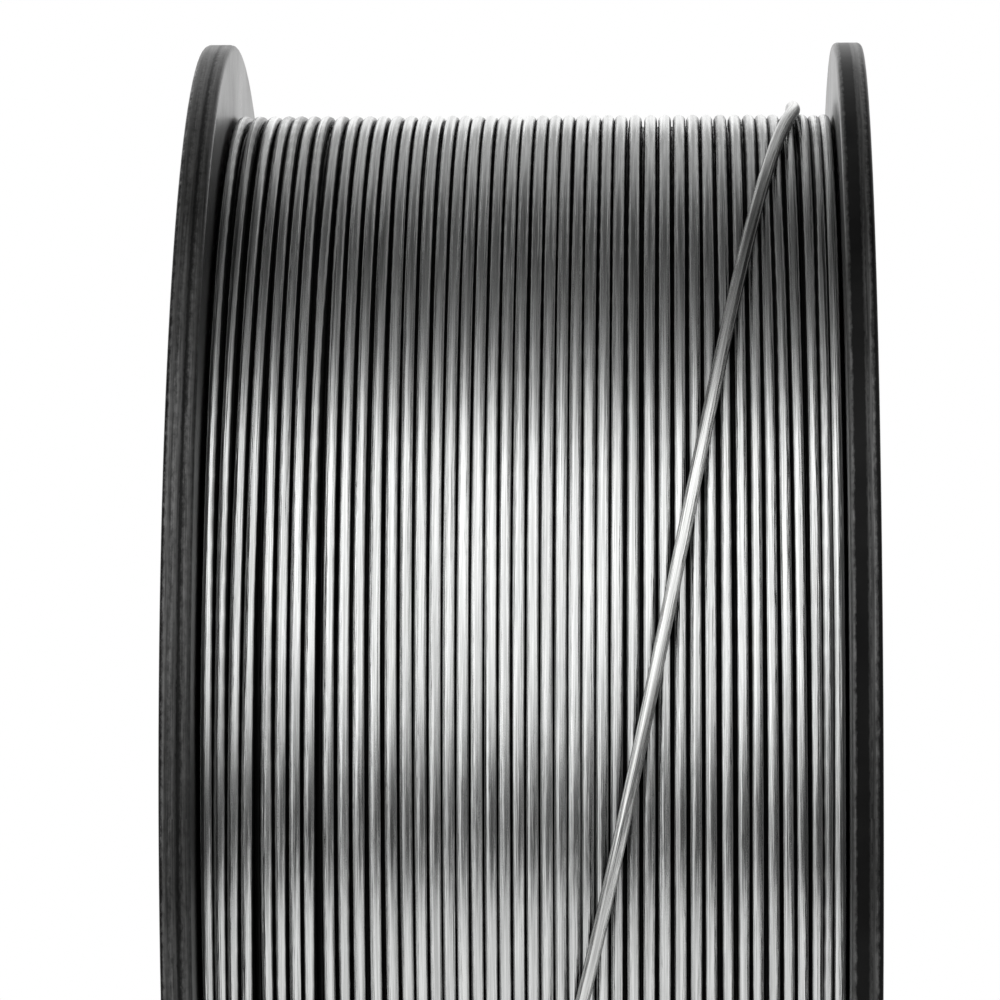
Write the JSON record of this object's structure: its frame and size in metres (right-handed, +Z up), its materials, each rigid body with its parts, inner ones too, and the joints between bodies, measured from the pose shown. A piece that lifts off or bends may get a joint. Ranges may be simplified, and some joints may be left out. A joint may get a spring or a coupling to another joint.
{
  "type": "spool of welding wire",
  "caption": "Narrow black plastic spool wound full of fine bright welding wire, whose last length slants across the pack to a small hole in one flange.",
  "frame": {"origin": "on the floor below the middle of the spool, which stands on both rims", "axes": "+X along the spool's axis, +Z up, the last length of wire crosses the pack on the -Y side"},
  "size_m": [0.045, 0.1, 0.1],
  "materials": {
    "black_plastic": "semi-matte moulded",
    "wire": "bright drawn"
  },
  "bodies": {
    "root": {"spool": "black_plastic", "wire_winding": "wire", "wire_tail": "wire"}
  },
  "joints": []
}
